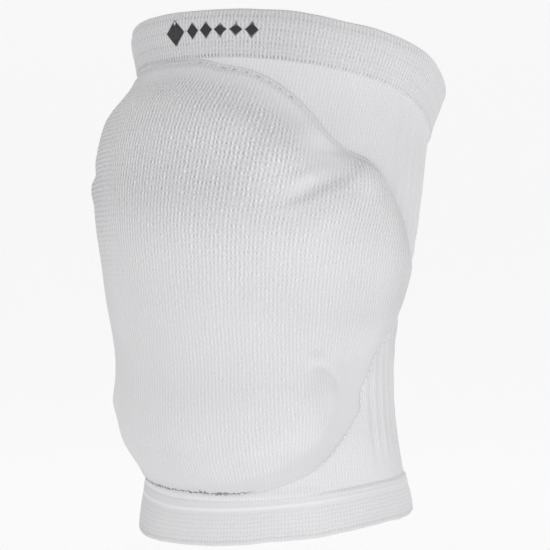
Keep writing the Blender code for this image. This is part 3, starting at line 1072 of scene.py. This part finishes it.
class Socket:
    """A shader socket that can be used in sums."""

    def __init__(self, tree, socket=None):
        self.tree = tree
        self.socket = socket

    def node(self, kind, settings=(), inputs=(), output=0):
        """Another node: its settings first, then the values or links of its inputs."""
        made = self.tree.nodes.new(kind)
        for name, value in dict(settings).items():
            setattr(made, name, value)
        for name, value in dict(inputs).items():
            if isinstance(value, Socket):
                self.tree.links.new(value.socket, made.inputs[name])
            else:
                made.inputs[name].default_value = value
        return Socket(self.tree, made.outputs[output])

    def math(self, operation, *values):
        return self.node("ShaderNodeMath", {"operation": operation}, dict(enumerate(values)))

    def __add__(self, other):
        return self.math("ADD", self, other)

    def __radd__(self, other):
        return self.math("ADD", other, self)

    def __sub__(self, other):
        return self.math("SUBTRACT", self, other)

    def __rsub__(self, other):
        return self.math("SUBTRACT", other, self)

    def __mul__(self, other):
        return self.math("MULTIPLY", self, other)

    def __rmul__(self, other):
        return self.math("MULTIPLY", other, self)

    def __truediv__(self, other):
        return self.math("DIVIDE", self, other)

    def __rtruediv__(self, other):
        return self.math("DIVIDE", other, self)

    def __abs__(self):
        return self.math("ABSOLUTE", self)

    def floor(self):
        return self.math("FLOOR", self)

    def part(self):
        """What it has beyond the whole number below it."""
        return self - self.floor()

    def sine(self):
        return self.math("SINE", self)

    def ramp(self, low, high):
        """Nothing at low, one at high, smooth between."""
        inputs = {"Value": self, "From Min": low, "From Max": high}
        settings = {"interpolation_type": "SMOOTHSTEP"}
        return self.node("ShaderNodeMapRange", settings, inputs)

    def near(self, middle, inner, outer):
        """One up to inner away from the middle, nothing past outer."""
        return 1.0 - abs(self - middle).ramp(inner, outer)

    def axis(self, number):
        return self.node("ShaderNodeSeparateXYZ", {}, {0: self}, number)

    def feed(self, shader, name):
        self.tree.links.new(self.socket, shader.inputs[name])

    def mask(self, name):
        return self.node("ShaderNodeAttribute", {"attribute_name": name}, output=2)

    def noise(self, place, scale, detail=2.0):
        inputs = {"Vector": place, "Scale": scale, "Detail": detail}
        return self.node("ShaderNodeTexNoise", {}, inputs)

    def mix(self, first, second):
        """Between two colours, by this share."""
        settings = {"data_type": "RGBA", "clamp_factor": True}
        return self.node("ShaderNodeMix", settings, {0: self, 6: first, 7: second}, output=2)


KNIT_WHITE = (0.90, 0.90, 0.915)
KNIT_SHADE = (0.38, 0.38, 0.385)
# Colour of the painted shadow in the slit under the pocket's lower edge
SLIT_SHADOW_BLACK = (0.03, 0.03, 0.03, 1.0)
POCKET_CONTRAST = 0.95
SLEEVE_CONTRAST = 1.0
CUFF_CONTRAST = 0.66

# Share of shade in plain knit, what each feature adds to it, and millimetres between the shaded
# stitch holes
PLAIN_TONE = 0.30
GAP_TONE = 0.52
STROKE_TONE = 0.46
ROW_TONE = 0.34
FUZZ_TONE = 0.85
BROAD_TONE = 0.10
# Darker where the knit is stretched open, and partly painted shade over the upper front
OPEN_KNIT_AND_SHADE_TONE = 0.10
# Painted shade in the valleys between the ribs behind the knee
RIB_VALLEY_SHADE = 0.05
# Painted highlight on the sleeve's welt under the pocket
WELT_HIGHLIGHT = 0.05
# Painted highlights on the ridges near the calf cuff's edge
CUFF_RIDGE_HIGHLIGHT = 0.18
# Painted shade in the holes between the top seam's stitches
STITCH_HOLE_SHADE = 0.38
STITCH_BEAT = 5.0
# How dark the painted shadow in the slit is
SLIT_SHADOW_TONE = 0.74


def new_material(name):
    material = bpy.data.materials.new(name)
    material.use_nodes = True
    tree = material.node_tree
    return material, tree.nodes["Principled BSDF"], Socket(tree)


def seam_shading(s, place):
    """Painted shade in the stitch holes and in the pressed groove along the pocket's seam, and
    painted shadow in its ragged slit.
    """
    seam, slit = s.mask("seam"), s.mask("slit")
    # Painted shade in the holes between the top seam's stitches
    beat = (s.mask("way") / STITCH_BEAT + s.noise(place, 0.3) * 0.9).part()
    ragged = (s.noise(place, 1.9, 3.0) - 0.5) * 1.6
    hole_shade = (seam - ragged).near(1.2, 0.1, 0.5) * beat.near(0.40, 0.08, 0.24)
    pit_shade = (seam - ragged).near(0.9, 0.1, 0.4) * beat.near(0.86, 0.03, 0.12)
    # Painted shadow in the ragged slit under the pocket's lower edge
    jag = (s.noise(place, 1.3, 3.0) - 0.5) * 3.6 + (s.noise(place, 0.3) - 0.5) * 1.6
    width = s.math("MAXIMUM", (s.noise(place, 0.9, 3.0) * 2.2 - 0.66) * slit, 0.02)
    slit_shadow = ((seam - jag - 1.0) / width).near(0.0, 0.4, 1.1) * slit.ramp(0.05, 0.4)
    # Painted shade in the groove along the seam, most on the wings
    edge = (1.0 - seam.ramp(0.0, 0.55) + seam.near(2.1, 0.2, 0.8) * 0.5) * s.mask("shade")
    return (hole_shade + pit_shade * 0.6) * s.mask("dashes") * STITCH_HOLE_SHADE + slit_shadow * SLIT_SHADOW_TONE + edge


def knit_material(name, contrast):
    """White knit: pale uneven columns of loops with small dark gaps between them."""
    material, shader, s = new_material(name)
    place = s.node("ShaderNodeUVMap", {"uv_map": "knit"})
    wander = s.noise(place, 0.16) - 0.5
    jitter = s.noise(place, 0.75, 3.0) - 0.5
    wale = place.axis(0) + wander * 0.6 + jitter * 0.75
    course = place.axis(1) + wander * 0.4 - jitter * 0.7
    row = course.floor()
    wave = (course.part() * math.pi).sine()
    deep = wave * wave
    number = (wale + 0.5).floor()
    across = abs(wale - number)
    cell = s.node("ShaderNodeCombineXYZ", {}, {0: number, 1: row})
    plain = {"noise_dimensions": "2D"}
    chance = s.node("ShaderNodeTexWhiteNoise", plain, {"Vector": cell})
    luck = s.node("ShaderNodeTexWhiteNoise", plain, {"Vector": cell}, 1).axis(0)
    fuzz = s.noise(place, 2.0, 3.0)
    broad = s.noise(place, 0.05, 3.0)
    opened, calm, rows = s.mask("open"), s.mask("calm"), s.mask("rows")
    stroke = (1.0 - across.ramp(0.06, 0.34)) * (0.24 + 0.76 * deep) * (0.25 + 1.2 * chance)
    dot = across.ramp(0.18, 0.46) * (0.20 + 0.80 * deep) * (0.30 + 0.8 * luck)
    if name == "cuff_knit":
        third = (row / 3.0).part()
        dot = dot * (0.8 + 0.7 * opened * (1.0 - third.ramp(0.1, 0.3)))
    amount = (0.10 + 0.80 * opened) * (1.0 - 0.62 * calm) * contrast
    loops = (GAP_TONE * dot - STROKE_TONE * stroke) * (1.0 - 0.45 * rows)
    tone = (
        PLAIN_TONE
        + amount * (loops + ROW_TONE * rows * (deep - 0.5) + FUZZ_TONE * (fuzz - 0.5))
        + (broad - 0.5) * BROAD_TONE
        # Painted shade in the rib valleys
        + s.mask("groove") * RIB_VALLEY_SHADE
        # Darker where the knit is stretched open, and partly painted shade over the upper front
        + opened * OPEN_KNIT_AND_SHADE_TONE
        # Painted light and shade from each piece's shading mask
        + s.mask("tint")
    )
    if name == "cuff_knit":
        climb = s.mask("climb")
        holes = climb.near(0.9, 0.3, 0.7) * across.ramp(0.15, 0.4) * opened * (1.0 - calm)
        tone = tone + holes * opened * (0.02 + 0.26 * luck)
        # Painted highlights on the ridges near the cuff's edge, where it is calm
        ridge_highlights = climb.near(0.7, 0.2, 0.9) * 0.7 + climb.near(3.6, 0.3, 1.1)
        tone = tone - ridge_highlights * calm * CUFF_RIDGE_HIGHLIGHT
    if name == "sleeve_knit":
        # Painted highlight on the sleeve's welt under the pocket
        tone = tone - s.mask("welt") * WELT_HIGHLIGHT
    shade = tuple(part * share for part, share in zip(KNIT_WHITE, KNIT_SHADE))
    colour = tone.mix((*KNIT_WHITE, 1.0), (*shade, 1.0))
    relief = amount * (stroke - dot - 0.3 * rows * deep + (fuzz - 0.5) * 0.5)
    if name == "pocket_knit":
        # Painted shade and shadow along the pocket's seam
        seam_shade = seam_shading(s, place)
        colour = seam_shade.mix(colour, SLIT_SHADOW_BLACK)
        relief = relief - seam_shade * 1.2
    bump = s.node("ShaderNodeBump", {}, {"Strength": 0.5, "Distance": 0.0004, "Height": relief})
    colour.feed(shader, "Base Color")
    bump.feed(shader, "Normal")
    (0.84 + 0.10 * dot).feed(shader, "Roughness")
    shader.inputs["Sheen Weight"].default_value = 0.12
    shader.inputs["Sheen Roughness"].default_value = 0.5
    shader.inputs["Specular IOR Level"].default_value = 0.25
    return material


def thread_material(name, colour, sheen):
    """Twisted embroidery thread."""
    material, shader, s = new_material(name)
    place = s.node("ShaderNodeTexCoord", {}, (), 3)
    strands = s.noise(place, 2200.0, 3.0)
    light = tuple(min(1.4 * part + 0.01, 0.92) for part in colour)
    bump = s.node("ShaderNodeBump", {}, {"Strength": 0.4, "Distance": 0.0001, "Height": strands})
    strands.ramp(0.35, 0.75).mix((*colour, 1.0), (*light, 1.0)).feed(shader, "Base Color")
    bump.feed(shader, "Normal")
    shader.inputs["Roughness"].default_value = 0.6
    shader.inputs["Sheen Weight"].default_value = sheen
    return material


# Studio

CAMERA_AZIMUTH = 46
CAMERA_ELEVATION = 1.5
CAMERA_DISTANCE = 0.650
SENSOR_WIDTH = 36.0
PHOTO_SIDE = 550
FOCAL_PIXELS = 1456
KNEE_PIXEL = (270, 278)

# Degrees round from the front and up, metres away and across, and watts
Light = namedtuple("Light", "name azimuth elevation distance size power")
LIGHTS = (
    Light("key", 90, -8, 1.2, 1.0, 2.0),
    Light("fill", 40, 5, 1.4, 1.2, 1.6),
    Light("bounce", 50, -28, 0.52, 0.5, 0.35),
)
ROOM_LIGHT = 0.62

# Pale floor that curves up into a wall behind the pad
FLOOR_DROP = 0.30
FLOOR_FRONT = -6.0
WALL_START = 1.2
WALL_CURVE = 1.5
WALL_TOP = 8.0
BACKDROP_HALF_WIDTH = 8.0
PAPER_GREY = 0.80
PAPER_GLOW = 0.36


def place_round(item, azimuth, elevation, distance):
    """Put a camera or light at a place round the knee pad, facing it."""
    a, e = math.radians(azimuth), math.radians(elevation)
    direction = Vector((math.sin(a) * math.cos(e), -math.cos(a) * math.cos(e), math.sin(e)))
    item.location = direction * distance
    item.rotation_euler = (-direction).to_track_quat("-Z", "Y").to_euler()
    bpy.context.scene.collection.objects.link(item)


def build_camera():
    camera = bpy.data.cameras.new("camera")
    camera.sensor_width = SENSOR_WIDTH
    camera.lens = FOCAL_PIXELS / PHOTO_SIDE * SENSOR_WIDTH
    camera.shift_x = (PHOTO_SIDE / 2 - KNEE_PIXEL[0]) / PHOTO_SIDE
    camera.shift_y = (KNEE_PIXEL[1] - PHOTO_SIDE / 2) / PHOTO_SIDE
    camera.clip_end = 50.0
    item = bpy.data.objects.new("camera", camera)
    place_round(item, CAMERA_AZIMUTH, CAMERA_ELEVATION, CAMERA_DISTANCE)
    bpy.context.scene.camera = item


def build_lights():
    scene = bpy.context.scene
    scene.view_settings.view_transform = "Standard"
    scene.world = bpy.data.worlds.new("studio")
    scene.world.use_nodes = True
    background = scene.world.node_tree.nodes["Background"]
    background.inputs["Color"].default_value = (1.0, 1.0, 1.0, 1.0)
    background.inputs["Strength"].default_value = ROOM_LIGHT
    for row in LIGHTS:
        light = bpy.data.lights.new(row.name, "AREA")
        light.shape = "DISK"
        light.size = row.size
        light.energy = row.power
        item = bpy.data.objects.new(row.name, light)
        item.visible_camera = False
        place_round(item, row.azimuth, row.elevation, row.distance)


def build_backdrop():
    profile = [(FLOOR_FRONT, 0.0), (WALL_START, 0.0)]
    for t in np.linspace(0.1, 1.5, 14):
        profile.append((WALL_START + WALL_CURVE * math.sin(t), WALL_CURVE * (1.0 - math.cos(t))))
    wall = WALL_START + WALL_CURVE
    profile += [(wall, WALL_CURVE + 0.3), (wall, WALL_TOP)]
    a = math.radians(CAMERA_AZIMUTH)
    ahead = np.array([-math.sin(a), math.cos(a), 0.0])
    side = np.array([math.cos(a), math.sin(a), 0.0])
    vertices, faces = [], []
    for run, rise in profile:
        for reach in (-BACKDROP_HALF_WIDTH, BACKDROP_HALF_WIDTH):
            point = ahead * run + side * reach + np.array([0, 0, rise - FLOOR_DROP])
            vertices.append(point.tolist())
    for k in range(len(profile) - 1):
        faces.append((2 * k, 2 * k + 1, 2 * k + 3, 2 * k + 2))
    mesh = bpy.data.meshes.new("backdrop")
    mesh.from_pydata(vertices, [], faces)
    mesh.update()
    paper, shader, _ = new_material("backdrop_paper")
    shader.inputs["Base Color"].default_value = (PAPER_GREY, PAPER_GREY, PAPER_GREY, 1.0)
    shader.inputs["Roughness"].default_value = 1.0
    shader.inputs["Specular IOR Level"].default_value = 0.0
    shader.inputs["Emission Color"].default_value = (1.0, 1.0, 1.0, 1.0)
    shader.inputs["Emission Strength"].default_value = PAPER_GLOW
    mesh.materials.append(paper)
    add_object("backdrop", mesh)


def wear(piece, material, node):
    piece.data.materials.clear()
    piece.data.materials.append(material)
    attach(piece, "root")
    if node:
        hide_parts(node)


def main():
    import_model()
    build_camera()
    build_backdrop()
    build_lights()
    pocket_knit = knit_material("pocket_knit", POCKET_CONTRAST)
    sleeve_knit = knit_material("sleeve_knit", SLEEVE_CONTRAST)
    cuff_knit = knit_material("cuff_knit", CUFF_CONTRAST)
    black_thread = thread_material("black_thread", (0.012, 0.012, 0.014), 0.2)
    white_thread = thread_material("white_thread", (0.84, 0.84, 0.85), 0.1)
    thigh_cuff = build_cuff("thigh_cuff_knit", thigh_rim, thigh_edge)
    calf_cuff = build_cuff("calf_cuff_knit", calf_rim, calf_edge)
    pocket = build_pocket()
    wear(build_sleeve(), sleeve_knit, "knit_sleeve")
    wear(thigh_cuff, cuff_knit, "thigh_cuff")
    wear(calf_cuff, cuff_knit, "calf_cuff")
    wear(pocket, pocket_knit, "padded_pocket")
    wear(build_mark(), black_thread, None)
    wear(build_stitching(), white_thread, None)


main()
